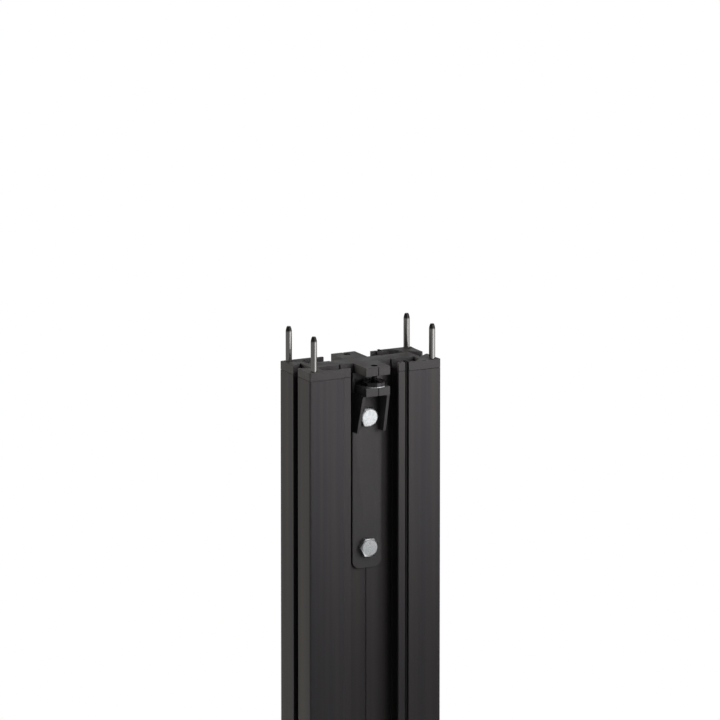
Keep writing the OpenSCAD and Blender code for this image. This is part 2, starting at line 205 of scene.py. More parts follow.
class TrussFinishes(PropertyGroup):
    """Colours of the finishes."""

    anodised: colour("Anodised", "Black anodised extrusion", "#3d3b3f")
    anodised_warm: colour("Anodised, warm", "Warmer streaks along the extrusion", "#484443")
    coated: colour("Coated", "Black powder coat on plates and brackets", "#434142")
    coated_grain: colour("Coat grain", "Lighter grain of the powder coat", "#504d4e")
    # Painted shade: a near-black colour laid on the walls of the screws' bores.
    bore: colour("Bores", "Oiled walls of the screws' bores", "#0e0e0e")
    zinc: colour("Zinc", "Bright zinc plate on the fasteners", "#d6d8da")
    zinc_dull: colour("Zinc, dull", "Duller patches of the zinc plate", "#c8cbcd")
    ground: colour("Ground steel", "Ground alignment pins", "#b9b7b4")
    # Painted reflection: a dark colour laid on the pins' tapered noses.
    painted_nose_shade: colour("Unground steel", "Dark noses of the alignment pins", "#474543")
    burnished: colour("Burnished steel", "Turned and blackened hand wheels", "#4a484a")
    rubber: colour("Rubber", "Seal strips", "#161616")


class TrussStage(PropertyGroup):
    """The camera's place and the lamps' levels."""

    azimuth: FloatProperty(
        name="Azimuth",
        description="Camera's bearing, where 0 looks along +Y and negative is from the left",
        default=math.radians(-27.4),
        subtype="ANGLE",
        unit="ROTATION",
    )
    elevation: FloatProperty(
        name="Elevation",
        description="Camera's height above the horizon",
        default=math.radians(12.6),
        subtype="ANGLE",
        unit="ROTATION",
    )
    distance: length("Distance", "Camera's distance from the upper end face", 9480, 1000, 15000)
    lens: FloatProperty(
        name="Lens",
        description="Focal length in millimetres on a 36 mm sensor",
        default=500.0,
        min=50.0,
        max=600.0,
    )
    key_lamp: power("Key lamp", "Soft box in front, a little to the right", 1.3)
    low_lamp: power("Low lamp", "Soft lamp in front of the section's lower end", 0.16)
    key_card: power("Key card", "White card at the key lamp, seen in gloss alone", 1.2)
    side_panel: power("Side panel", "White panel at the right, which the metal mirrors", 2.0)
    fill_lamp: power("Fill lamp", "Soft box at the left, a little behind", 27.0)
    back_lamp: power("Back lamp", "Soft lamp behind, for the section's back", 13.0)
    room_light: FloatProperty(
        name="Room light",
        description="Strength of the room's light on matt faces",
        default=0.06,
        min=0.0,
        max=1.0,
    )
    room_gloss: FloatProperty(
        name="Room in gloss",
        description="Strength at which gloss sees the room, away from the white backdrop",
        default=0.2,
        min=0.0,
        max=1.0,
    )


# ---- Materials ----


def add_node(tree, kind, properties=None, values=None, links=None):
    """Adds a node, sets its properties and its sockets' values, and links outputs to its inputs."""
    node = tree.nodes.new(kind)
    for name, value in (properties or {}).items():
        setattr(node, name, value)
    for socket, value in (values or {}).items():
        node.inputs[socket].default_value = value
    for socket, output in (links or {}).items():
        tree.links.new(output, node.inputs[socket])
    return node


def new_material(name):
    """An empty node material, its tree, its output, and the place on the piece in metres."""
    material = bpy.data.materials.new(name)
    material.use_nodes = True
    tree = material.node_tree
    tree.nodes.clear()
    output = add_node(tree, "ShaderNodeOutputMaterial")
    place = add_node(tree, "ShaderNodeTexCoord").outputs["Object"]
    return material, tree, output, place


def maths(tree, operation, first, second, vector=False):
    """The outputs of a maths node, whose second number or vector may be another's output."""
    linked = isinstance(second, bpy.types.NodeSocket)
    return add_node(
        tree,
        "ShaderNodeVectorMath" if vector else "ShaderNodeMath",
        properties={"operation": operation},
        values={} if linked else {1: second},
        links={0: first, 1: second} if linked else {0: first},
    ).outputs


def add_surface(tree, output, values, links):
    """Gives a material its shader."""
    shader = add_node(tree, "ShaderNodeBsdfPrincipled", values=values, links=links)
    tree.links.new(shader.outputs["BSDF"], output.inputs["Surface"])


def rgba(colour_value):
    """A colour property as the four numbers that a socket takes."""
    return (*colour_value, 1.0)


def grain(tree, place, grain_mm, stretch=(1, 1, 1), detail=2.0, roughness=0.5):
    """Noise whose features are about grain_mm across, drawn out by stretch along X, Y and Z."""
    drawn = add_node(
        tree,
        "ShaderNodeMapping",
        values={"Scale": tuple(1 / s for s in stretch)},
        links={"Vector": place},
    )
    noise = add_node(
        tree,
        "ShaderNodeTexNoise",
        values={"Scale": 1 / (grain_mm * MM), "Detail": detail, "Roughness": roughness},
        links={"Vector": drawn.outputs["Vector"]},
    )
    return noise.outputs["Fac"]


def spread(tree, value, low, high, from_low=0.3, from_high=0.7):
    """A value that runs from from_low to from_high, as most of a noise does unless they are
    given, made to run from low to high."""
    mapped = add_node(
        tree,
        "ShaderNodeMapRange",
        values={"From Min": from_low, "From Max": from_high, "To Min": low, "To Max": high},
        links={"Value": value},
    )
    return mapped.outputs["Result"]


def between(tree, factor, first, second):
    """A colour between two others, of which the first may be another node's output."""
    values, links = {7: rgba(second)}, {0: factor}
    if isinstance(first, bpy.types.NodeSocket):
        links[6] = first
    else:
        values[6] = rgba(first)
    mixed = add_node(
        tree, "ShaderNodeMix", properties={"data_type": "RGBA"}, values=values, links=links
    )
    return mixed.outputs[2]


def bumped(tree, height, depth_mm, strength=1.0, normal=None):
    """A normal tilted by a height pattern that is depth_mm deep."""
    links = {"Height": height}
    if normal:
        links["Normal"] = normal
    bump = add_node(
        tree,
        "ShaderNodeBump",
        values={"Strength": strength, "Distance": depth_mm * MM},
        links=links,
    )
    return bump.outputs["Normal"]


def anodised_aluminium(finishes):
    """Extruded aluminium, satin anodised black: a dyed oxide skin that keeps the fine lines
    of the extrusion die, so that it shines softly and streaks along the length."""
    material, tree, output, place = new_material("satin_black_anodised_aluminium")
    # Die lines about 0.5 mm apart that hold for 150 mm, and tone streaks 7 mm wide and less.
    die_lines = grain(tree, place, 0.5, (1, 1, 300), 3.0)
    streaks = grain(tree, place, 7.0, (1, 1, 80), 3.0)
    etch = grain(tree, place, 0.35, detail=1.0)
    add_surface(
        tree,
        output,
        {"Specular IOR Level": 0.24, "IOR": 1.5},
        {
            "Base Color": between(
                tree, spread(tree, streaks, 0.0, 1.0), finishes.anodised, finishes.anodised_warm
            ),
            "Roughness": spread(tree, die_lines, 0.36, 0.46),
            "Normal": bumped(
                tree, etch, 0.004, normal=bumped(tree, die_lines, 0.012, 0.7)
            ),
        },
    )
    return material


def painted_bore_shade_mask(tree, place):
    """1 within the bores on the two coupling screws' axes, and 0 elsewhere."""
    centre = centre_of("coupling_screw_back")
    # The two axes mirror each other in Y, so both fold onto the back one.
    folded = maths(tree, "ABSOLUTE", place, (0, 0, 0), vector=True)["Vector"]
    flat = maths(tree, "MULTIPLY", folded, (1, 1, 0), vector=True)["Vector"]
    away = maths(tree, "DISTANCE", flat, (centre.x, centre.y, 0), vector=True)["Value"]
    return maths(tree, "LESS_THAN", away, BORE_REACH)[0]


def powder_coat(finishes):
    """Black polyester powder coat, sprayed and baked on machined steel and aluminium: a satin
    skin with a fine even grain, drawn 0.8 mm across so that it shows."""
    material, tree, output, place = new_material("satin_black_powder_coat")
    texture = grain(tree, place, 0.8, detail=3.0)
    patches = grain(tree, place, 14.0, detail=1.0)
    coat = between(
        tree, spread(tree, texture, 0.0, 0.8), finishes.coated, finishes.coated_grain
    )
    # The walls of the screws' bores are coloured near black: painted shade for the dark inside of
    # the bores.
    add_surface(
        tree,
        output,
        {"Specular IOR Level": 0.31, "IOR": 1.5},
        {
            "Base Color": between(tree, painted_bore_shade_mask(tree, place), coat, finishes.bore),
            "Roughness": spread(tree, patches, 0.56, 0.66),
            "Normal": bumped(tree, texture, 0.03, 0.8),
        },
    )
    return material


def zinc_plate(finishes):
    """Bright zinc on cold-formed steel: a blue-white metal, smooth but mottled where the bath
    laid it unevenly, with faint forming marks."""
    material, tree, output, place = new_material("bright_zinc_plated_steel")
    mottle = grain(tree, place, 2.2, detail=3.0)
    skin = grain(tree, place, 0.4, detail=2.0)
    add_surface(
        tree,
        output,
        {"Metallic": 1.0},
        {
            "Base Color": between(
                tree, spread(tree, mottle, 0.0, 1.0), finishes.zinc, finishes.zinc_dull
            ),
            "Roughness": spread(tree, mottle, 0.24, 0.32),
            "Normal": bumped(tree, skin, 0.003, 0.15),
        },
    )
    return material


def ground_steel(finishes):
    """Hardened dowel steel, centreless ground: a clear mirror round its side that fine rings,
    0.35 mm apart, blur up and down. The tapered nose is painted dark: a painted reflection
    of the dim surroundings that its slope mirrors."""
    material, tree, output, place = new_material("ground_dowel_steel")
    rings = grain(tree, place, 0.35, (40, 40, 1), 2.0)
    stains = grain(tree, place, 3.0, detail=2.0)
    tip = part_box("alignment_pin_front_left")[1].z
    nose_start = tip - bpy.context.scene.truss_sizes.pin_nose
    height = add_node(tree, "ShaderNodeSeparateXYZ", links={"Vector": place}).outputs["Z"]
    # The nose gets a painted dark reflection, in place of the ground steel's colour.
    on_nose = spread(tree, height, 0.0, 1.0, nose_start, nose_start + 1.5 * MM)
    add_surface(
        tree,
        output,
        {"Metallic": 1.0},
        {
            "Base Color": between(tree, on_nose, finishes.ground, finishes.painted_nose_shade),
            "Roughness": spread(tree, stains, 0.14, 0.22),
            "Normal": bumped(tree, rings, 0.003, 0.3),
        },
    )
    return material


def burnished_steel(finishes, name, centre):
    """Free-cutting steel, turned on a lathe and blackened: dark metal whose rings, 0.45 mm apart
    round its own axis, pull a highlight out into a fan."""
    material, tree, output, place = new_material(name)
    about_axis = add_node(
        tree,
        "ShaderNodeMapping",
        values={"Location": tuple(-c for c in centre)},
        links={"Vector": place},
    ).outputs["Vector"]
    # A wave texture draws about this many rings to its unit of scale.
    rings_per_unit = 3.14
    rings = add_node(
        tree,
        "ShaderNodeTexWave",
        properties={"wave_type": "RINGS", "rings_direction": "Z", "wave_profile": "SIN"},
        values={"Scale": 1 / (rings_per_unit * 0.45 * MM), "Distortion": 0.6, "Detail": 2.0},
        links={"Vector": about_axis},
    ).outputs["Fac"]
    wear = grain(tree, place, 2.0, detail=3.0)
    add_surface(
        tree,
        output,
        {"Base Color": rgba(finishes.burnished), "Metallic": 1.0},
        {
            "Roughness": spread(tree, wear, 0.2, 0.34),
            "Normal": bumped(tree, rings, 0.02, 0.5),
        },
    )
    return material


def seal_rubber(finishes):
    """Extruded black EPDM rubber: matt, with a faint bloom that greys it in patches."""
    material, tree, output, place = new_material("black_epdm_rubber")
    bloom = grain(tree, place, 4.0, (1, 1, 4), 3.0)
    add_surface(
        tree,
        output,
        {"Base Color": rgba(finishes.rubber), "Specular IOR Level": 0.3},
        {
            "Roughness": spread(tree, bloom, 0.62, 0.82),
            "Normal": bumped(tree, grain(tree, place, 0.6), 0.02, 0.5),
        },
    )
    return material


MAKERS = {
    "black_anodised": anodised_aluminium,
    "black_powder_coat": powder_coat,
    "zinc_plated_steel": zinc_plate,
    "ground_steel": ground_steel,
    "seal_rubber": seal_rubber,
}
made_materials = {}


def finish_of(slot):
    """The material of one of the record's slots, made once."""
    if slot not in made_materials:
        made_materials[slot] = MAKERS[slot](bpy.context.scene.truss_finishes)
    return made_materials[slot]


# ---- Shaping ----


def body_of_node(node):
    """The body that a node rides on."""
    return frame["nodes"][node]["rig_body"]


def centre_of(node):
    """The middle of a node's box."""
    low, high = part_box(node)
    return (low + high) / 2


def break_edges(shape, width, segments=2):
    """Rounds every real corner of a shape."""
    corners = [
        edge
        for edge in shape.edges
        if len(edge.link_faces) == 2 and edge.calc_face_angle() > CORNER_TURN
    ]
    bmesh.ops.bevel(
        shape,
        geom=corners,
        offset=width,
        offset_type="OFFSET",
        segments=segments,
        profile=0.5,
        affect="EDGES",
        clamp_overlap=False,
        material=-1,
    )


def merged(node):
    """A copy of a node's mesh, with its triangles joined into flats."""
    shape = bmesh.new()
    shape.from_mesh(frame["nodes"][node].data)
    bmesh.ops.remove_doubles(shape, verts=shape.verts, dist=WELD_DISTANCE)
    bmesh.ops.dissolve_limit(
        shape, angle_limit=FLAT_TURN, verts=shape.verts, edges=shape.edges
    )
    return shape


def softened(node, width, segments=2):
    """A merged copy of a node's mesh with its edges broken."""
    shape = merged(node)
    break_edges(shape, width, segments)
    return shape


def step_seat(shape, seat, inward, reach, depth):
    """Leaves a shadow gap at a plate's seat: all but its rim still reaches the height seat."""
    near = 0.01 * MM
    rim = [v for v in shape.verts if abs(v.co.z - seat) < near]
    faces = [f for f in shape.faces if all(abs(v.co.z - seat) < near for v in f.verts)]
    bmesh.ops.translate(shape, verts=rim, vec=(0, 0, inward * reach))
    bmesh.ops.inset_region(
        shape, faces=faces, thickness=depth, use_boundary=True, use_even_offset=True
    )
    made = bmesh.ops.extrude_face_region(shape, geom=faces)["geom"]
    raised = [g for g in made if isinstance(g, bmesh.types.BMVert)]
    bmesh.ops.translate(shape, verts=raised, vec=(0, 0, -inward * reach))
    bmesh.ops.delete(shape, geom=faces, context="FACES")


def add_turned(shape, outline, steps, closed=False):
    """Turns (radius, height) points about the Z axis. A closed outline makes a ring."""
    corners = [shape.verts.new((radius, 0, height)) for radius, height in outline]
    pairs = list(zip(corners, corners[1:] + corners[:1]))
    edges = [shape.edges.new(pair) for pair in (pairs if closed else pairs[:-1])]
    bmesh.ops.spin(
        shape,
        geom=corners + edges,
        cent=(0, 0, 0),
        axis=(0, 0, 1),
        dvec=(0, 0, 0),
        angle=math.tau,
        steps=steps,
        use_merge=True,
        use_duplicate=False,
    )
    bmesh.ops.remove_doubles(shape, verts=shape.verts, dist=SEAM_DISTANCE)


def add_thread(shape, radius, pitch, low, high, steps=32, inward=False):
    """Winds a closed tooth round a core, with its crest at a radius and its root a little
    inside the core, or inward from a bore's wall."""
    side = -1 if inward else 1
    root = radius - side * (THREAD_DEPTH + 0.12) * pitch
    tooth = (
        (root, -0.46 * pitch),
        (radius, -0.07 * pitch),
        (radius, 0.07 * pitch),
        (root, 0.46 * pitch),
    )
    corners = [shape.verts.new((reach, 0, low + rise)) for reach, rise in tooth]
    face = shape.faces.new(corners)
    turns = (high - low) / pitch
    count = max(1, round(turns * steps))
    bmesh.ops.spin(
        shape,
        geom=[face, *face.edges, *corners],
        cent=(0, 0, 0),
        axis=(0, 0, 1),
        dvec=(0, 0, (high - low) / count),
        angle=math.tau * turns,
        steps=count,
        use_merge=False,
        use_duplicate=False,
    )


def hexagon_disc(flats):
    """Radius of the round flat that a chamfer leaves on a hexagon's end."""
    return flats / 2 * 0.95


def add_hexagon(shape, flats, low, high, chamfer_low, chamfer_high, steps=96):
    """A hexagon bar, flats up and down, whose corners a cone of 30 degrees has taken off at
    either end. Its ends are closed by round flats."""
    disc = hexagon_disc(flats)
    slope = math.tan(math.radians(30))

    def reach(vertex):
        """The hexagon's radius at a vertex's bearing."""
        turn = math.atan2(vertex.co.y, vertex.co.x) % math.radians(60)
        return flats / 2 / math.cos(turn - math.radians(30))

    def rows():
        """Where each ring of vertices lies, as a radius and a height for a vertex."""
        yield lambda v: (disc, low) if chamfer_low else (reach(v), low)
        if chamfer_low:
            yield lambda v: (reach(v), low + (reach(v) - disc) * slope)
        if chamfer_high:
            yield lambda v: (reach(v), high - (reach(v) - disc) * slope)
        yield lambda v: (disc, high) if chamfer_high else (reach(v), high)

    ring = bmesh.ops.create_circle(shape, cap_ends=False, radius=flats, segments=steps)["verts"]
    edges = list({edge for vertex in ring for edge in vertex.link_edges})
    first = edges
    for number, row in enumerate(rows()):
        if number:
            made = bmesh.ops.extrude_edge_only(shape, edges=edges)["geom"]
            ring = [g for g in made if isinstance(g, bmesh.types.BMVert)]
            edges = [g for g in made if isinstance(g, bmesh.types.BMEdge)]
        for vertex in ring:
            radius, height = row(vertex)
            bearing = math.atan2(vertex.co.y, vertex.co.x)
            vertex.co = (radius * math.cos(bearing), radius * math.sin(bearing), height)
    bmesh.ops.holes_fill(shape, edges=first, sides=steps)
    bmesh.ops.holes_fill(shape, edges=edges, sides=steps)


def add_bar(shape, size, centre, width):
    """A small bar of the given size with broken edges."""
    made = bmesh.ops.create_cube(shape, size=1.0, matrix=Matrix.Diagonal((*size, 1)))["verts"]
    edges = list({edge for vertex in made for edge in vertex.link_edges})
    bevelled = bmesh.ops.bevel(
        shape,
        geom=edges,
        offset=width,
        offset_type="OFFSET",
        segments=2,
        profile=0.5,
        affect="EDGES",
        clamp_overlap=True,
        material=-1,
    )["verts"]
    bmesh.ops.translate(shape, verts=bevelled, vec=centre)
    return bevelled


def move(shape, matrix):
    """Moves all of a shape."""
    bmesh.ops.transform(shape, matrix=matrix, space=Matrix.Identity(4), verts=shape.verts)


def finish(shape, node, slot, material=None):
    """Makes the shape a piece that stands for a node, in its finish, on the node's body."""
    bmesh.ops.recalc_face_normals(shape, faces=shape.faces)
    mesh = bpy.data.meshes.new(node + "_finished")
    shape.to_mesh(mesh)
    shape.free()
    mesh.materials.append(material or finish_of(slot))
    mesh.polygons.foreach_set("use_smooth", [True] * len(mesh.polygons))
    mesh.set_sharp_from_angle(angle=SHARP_TURN)
    piece = bpy.data.objects.new(node + "_finished", mesh)
    bpy.context.scene.collection.objects.link(piece)
    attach(piece, body_of_node(node))
    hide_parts(node)
    return piece


# ---- The beam, its end plates and brackets ----


class TRUSS_OT_beam(Operator):
    """Dresses the extruded beam: its edges as the die and the saw leave them, in satin black"""

    bl_idname = "truss.beam"
    bl_label = "Extruded beam"

    def execute(self, context):
        width = context.scene.truss_sizes.beam_break
        finish(softened("beam_extrusion", width), "beam_extrusion", "black_anodised")
        return {"FINISHED"}


class TRUSS_OT_end_plates(Operator):
    """Dresses the two machined end plates, with the dark seam where they meet the beam"""

    bl_idname = "truss.end_plates"
    bl_label = "End plates"

    def execute(self, context):
        sizes = context.scene.truss_sizes
        for end in ENDS:
            node = "end_plate_" + end
            low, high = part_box(node)
            shape = merged(node)
            # The upper plate sits on its lower face, the lower plate under its upper face.
            seat, inward = (low.z, 1) if end == "top" else (high.z, -1)
            step_seat(shape, seat, inward, sizes.seam_gap, sizes.seam_depth)
            break_edges(shape, sizes.plate_break)
            finish(shape, node, "black_powder_coat")
        return {"FINISHED"}


class TRUSS_OT_brackets(Operator):
    """Dresses the four straps with their leaning cheeks, and the shelf blocks between them"""

    bl_idname = "truss.brackets"
    bl_label = "Coupling brackets"

    def execute(self, context):
        width = context.scene.truss_sizes.strap_break
        for kind in ("bracket", "shelf_block"):
            for end in ENDS:
                for side in SIDES:
                    node = f"{kind}_{end}_{side}"
                    finish(softened(node, width), node, "black_powder_coat")
        return {"FINISHED"}


# ---- Turned and threaded pieces ----


class TRUSS_OT_alignment_pins(Operator):
    """Turns the four alignment pins with their long tapered noses and thinner roots"""

    bl_idname = "truss.alignment_pins"
    bl_label = "Alignment pins"

    def execute(self, context):
        sizes = context.scene.truss_sizes
        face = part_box("end_plate_top")[1].z
        for side in SIDES:
            for hand in HANDS:
                node = f"alignment_pin_{side}_{hand}"
                low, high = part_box(node)
                centre = centre_of(node)
                shape = self.pin(sizes, (high.x - low.x) / 2, low.z - face, high.z - face)
                move(shape, Matrix.Translation((centre.x, centre.y, face)))
                finish(shape, node, "ground_steel")
        return {"FINISHED"}

    def pin(self, sizes, radius, root, tip):
        """A pin on the Z axis whose shoulder is at 0."""
        nose = sizes.pin_nose
        chamfer, flat_break = 0.6 * MM, 0.25 * MM
        # The root and the nose's flat end are thinner than the pin.
        core, end = radius * 0.83, radius * 0.6
        # The nose swells from its flat end to the full diameter along a quarter of a sine.
        swell = [
            (end + (radius - end) * math.sin(i / 8 * math.pi / 2), tip - nose * i / 8)
            for i in range(1, 9)
        ]
        outline = [
            (0, tip),
            (end - flat_break, tip),
            *swell,
            (radius, 0),
            (core, 0),
            (core, root + chamfer),
            (core - chamfer, root),
            (0, root),
        ]
        shape = bmesh.new()
        add_turned(shape, outline, sizes.turn_steps // 2)
        return shape


def head_marks(shape, reach, height):
    """Three raised strokes, 120 degrees apart, on the face of a bolt head."""
    size, edge = (2.6 * MM, 0.55 * MM, 0.3 * MM), 0.08 * MM
    for number in range(3):
        made = add_bar(shape, size, (reach, 0, height), edge)
        turn = Matrix.Rotation(math.radians(30 + 120 * number), 4, "Z")
        bmesh.ops.transform(shape, matrix=turn, space=Matrix.Identity(4), verts=made)


class TRUSS_OT_bolts(Operator):
    """Forms the four through bolts: chamfered heads with grade strokes, and threaded ends"""

    bl_idname = "truss.bolts"
    bl_label = "Through bolts"

    def execute(self, context):
        sizes = context.scene.truss_sizes
        for end in ENDS:
            for row in ROWS:
                node = f"bolt_{end}_{row}"
                low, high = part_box(node)
                # The washer at the back lies on its strap as the head does on the front one.
                strap_face = -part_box(f"washer_{end}_{row}")[0].y
                nut_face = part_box(f"nut_{end}_{row}")[1].y
                shape = self.bolt(
                    sizes, strap_face - low.y, high.y - strap_face, nut_face - strap_face
                )
                middle = centre_of(node)
                spot = Matrix.Translation((middle.x, strap_face, middle.z))
                move(shape, spot @ ALONG_Y)
                finish(shape, node, "zinc_plated_steel")
        return {"FINISHED"}

    def bolt(self, sizes, head, reach, nut_end):
        """A bolt along +Z whose head sits below 0."""
        shape = bmesh.new()
        face, slant = 0.3 * MM, 0.35 * MM
        disc = hexagon_disc(sizes.hex_flats)
        add_hexagon(shape, sizes.hex_flats, -head + face, -face, True, False)
        # The hexagon stands on a washer face, and a shallow disc rises over its chamfer.
        washer_face = [(0, -face), (disc, -face), (disc, 0), (0, 0)]
        add_turned(shape, washer_face, sizes.turn_steps)
        rise = disc - 0.15 * MM
        shallow = [(0, -head), (rise - slant, -head), (rise, -head + face), (0, -head + face)]
        add_turned(shape, shallow, sizes.turn_steps)
        mark_reach = disc * 0.62
        head_marks(shape, mark_reach, -head)
        radius = sizes.bolt_thread / 2
        core = radius - THREAD_DEPTH * sizes.bolt_pitch
        chamfer = 0.9 * MM
        thread_start = nut_end - 2 * sizes.bolt_pitch
        add_turned(
            shape,
            [
                (0, 0),
                (radius, 0),
                (radius, thread_start),
                (core, thread_start),
                (core, reach - chamfer / 2),
                (core - chamfer, reach),
                (0, reach),
            ],
            sizes.turn_steps // 2,
        )
        add_thread(shape, radius, sizes.bolt_pitch, thread_start, reach - chamfer)
        return shape


class TRUSS_OT_nuts_and_washers(Operator):
    """Forms the nuts, chamfered at both ends, their washers, and the sleeves in the web"""

    bl_idname = "truss.nuts_and_washers"
    bl_label = "Nuts and washers"

    def execute(self, context):
        sizes = context.scene.truss_sizes
        for end in ENDS:
            for row in ROWS:
                for kind, maker in (("nut", self.nut), ("washer", self.washer)):
                    node = f"{kind}_{end}_{row}"
                    low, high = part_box(node)
                    middle = centre_of(node)
                    shape = maker(sizes, high - low)
                    spot = Matrix.Translation((middle.x, low.y, middle.z))
                    move(shape, spot @ ALONG_Y)
                    finish(shape, node, "zinc_plated_steel")
                sleeve = f"sleeve_{end}_{row}"
                finish(softened(sleeve, sizes.turned_break), sleeve, "zinc_plated_steel")
        return {"FINISHED"}

    def nut(self, sizes, extent):
        """A nut on the Z axis, standing on 0. The extent is its node's, which lies along Y."""
        shape = bmesh.new()
        height = extent.y
        add_hexagon(shape, sizes.hex_flats, 0, height, True, True)
        # The countersink of the thread shows as a ring that stands on the nut's flat end.
        bore = sizes.bolt_thread / 2
        inner, outer = bore + 0.05 * MM, bore + 0.9 * MM
        sunk, proud = height - 0.4 * MM, height + 0.02 * MM
        add_turned(
            shape,
            [
                (inner, sunk),
                (outer, sunk),
                (outer, proud),
                (bore + 0.7 * MM, proud),
                (inner, height - 0.1 * MM),
            ],
            sizes.turn_steps,
            closed=True,
        )
        return shape

    def washer(self, sizes, extent):
        """A stamped washer on the Z axis, standing on 0, whose edges the tumbler has rounded."""
        shape = bmesh.new()
        height, rim = extent.y, extent.x / 2
        bore = sizes.bolt_thread / 2 + 0.25 * MM
        add_turned(
            shape,
            [(bore, 0), (rim, 0), (rim, height), (bore, height)],
            sizes.turn_steps,
            closed=True,
        )
        bmesh.ops.recalc_face_normals(shape, faces=shape.faces)
        break_edges(shape, 0.35 * MM, 3)
        return shape


class TRUSS_OT_coupling_screws(Operator):
    """Turns the coupling screws: a hand wheel on a threaded shank, over its thrust washer"""

    bl_idname = "truss.coupling_screws"
    bl_label = "Coupling screws"

    def execute(self, context):
        sizes = context.scene.truss_sizes
        finishes = context.scene.truss_finishes
        for side in SIDES:
            screw, washer = f"coupling_screw_{side}", f"thrust_washer_{side}"
            low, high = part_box(screw)
            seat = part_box(washer)[1].z
            middle = centre_of(screw)
            rim = (high.x - low.x) / 2
            spot = Matrix.Translation((middle.x, middle.y, seat))
            shape = self.screw(sizes, rim, low.z - seat, high.z - seat)
            move(shape, spot)
            material = burnished_steel(
                finishes, "burnished_turned_steel_" + side, (middle.x, middle.y, seat)
            )
            finish(shape, screw, "burnished_steel", material)
            ring = self.washer(sizes, rim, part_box(washer)[0].z - seat)
            move(ring, spot)
            finish(ring, washer, "zinc_plated_steel")
        return {"FINISHED"}

    def screw(self, sizes, rim, root, tip):
        """A screw on the Z axis whose wheel stands on 0."""
        shape = bmesh.new()
        radius = sizes.screw_thread / 2
        core = radius - THREAD_DEPTH * sizes.screw_pitch
        thick = sizes.wheel_thickness
        hub, chamfer = radius + 1.6 * MM, 0.5 * MM
        dish_rim, dish_depth = rim - 2.4 * MM, 0.35 * MM
        # The wheel's upper face is dished a little between its hub and its rim.
        wheel = [
            (0, 0),
            (rim - chamfer, 0),
            (rim, chamfer),
            (rim, thick - chamfer),
            (rim - chamfer, thick),
            (dish_rim, thick),
            (dish_rim - chamfer, thick - dish_depth),
            (hub + chamfer, thick - dish_depth),
            (hub, thick),
            (0, thick),
        ]
        add_turned(shape, wheel, sizes.turn_steps)
        shank = [
            (0, root),
            (core - chamfer, root),
            (core, root + chamfer),
            (core, tip - chamfer),
            (core - chamfer, tip),
            (0, tip),
        ]
        add_turned(shape, shank, sizes.turn_steps // 2)
        # The plain journal below reaches a little into the wheel, and so does the thread above.
        end, inside = root + 1 * MM, 0.2 * MM
        journal = [(0, end), (radius, end), (radius, inside), (0, inside)]
        add_turned(shape, journal, sizes.turn_steps // 2)
        add_thread(shape, radius, sizes.screw_pitch, thick - 0.5 * MM, tip - 0.7 * MM)
        return shape

    def washer(self, sizes, rim, base):
        """The thrust washer below 0."""
        shape = bmesh.new()
        bore = sizes.screw_thread / 2 + 0.05 * MM
        add_turned(
            shape,
            [(bore, base), (rim, base), (rim, 0), (bore, 0)],
            sizes.turn_steps,
            closed=True,
        )
        bmesh.ops.recalc_face_normals(shape, faces=shape.faces)
        break_edges(shape, 0.2 * MM, 2)
        return shape


class TRUSS_OT_thread_inserts(Operator):
    """Turns the flanged inserts in the lower arms, with their inner threads"""

    bl_idname = "truss.thread_inserts"
    bl_label = "Threaded inserts"

    def execute(self, context):
        sizes = context.scene.truss_sizes
        for side in SIDES:
            node = f"thread_insert_{side}"
            low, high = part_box(node)
            middle = centre_of(node)
            plate_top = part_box("end_plate_bottom")[1].z
            shape = self.insert(sizes, (high.x - low.x) / 2, high.z - plate_top, high.z)
            move(shape, Matrix.Translation((middle.x, middle.y, 0)))
            finish(shape, node, "zinc_plated_steel")
        return {"FINISHED"}

    def insert(self, sizes, flange_rim, flange, top):
        """An insert on the Z axis, standing on 0."""
        shape = bmesh.new()
        thread = sizes.screw_thread / 2
        rim = flange_rim - flange
        mouth, chamfer, under = 0.45 * MM, 0.3 * MM, 0.2 * MM
        add_turned(
            shape,
            [
                (thread + mouth, 0),
                (rim, 0),
                (rim, top - flange),
                (flange_rim - under, top - flange),
                (flange_rim, top - flange + under),
                (flange_rim, top - chamfer),
                (flange_rim - chamfer, top),
                (thread + mouth, top),
                (thread, top - mouth),
                (thread, mouth),
            ],
            sizes.turn_steps,
            closed=True,
        )
        pitch = sizes.screw_pitch
        crest = thread - 0.5 * MM
        add_thread(shape, crest, pitch, mouth + pitch / 2, top - mouth - pitch / 2, inward=True)
        return shape


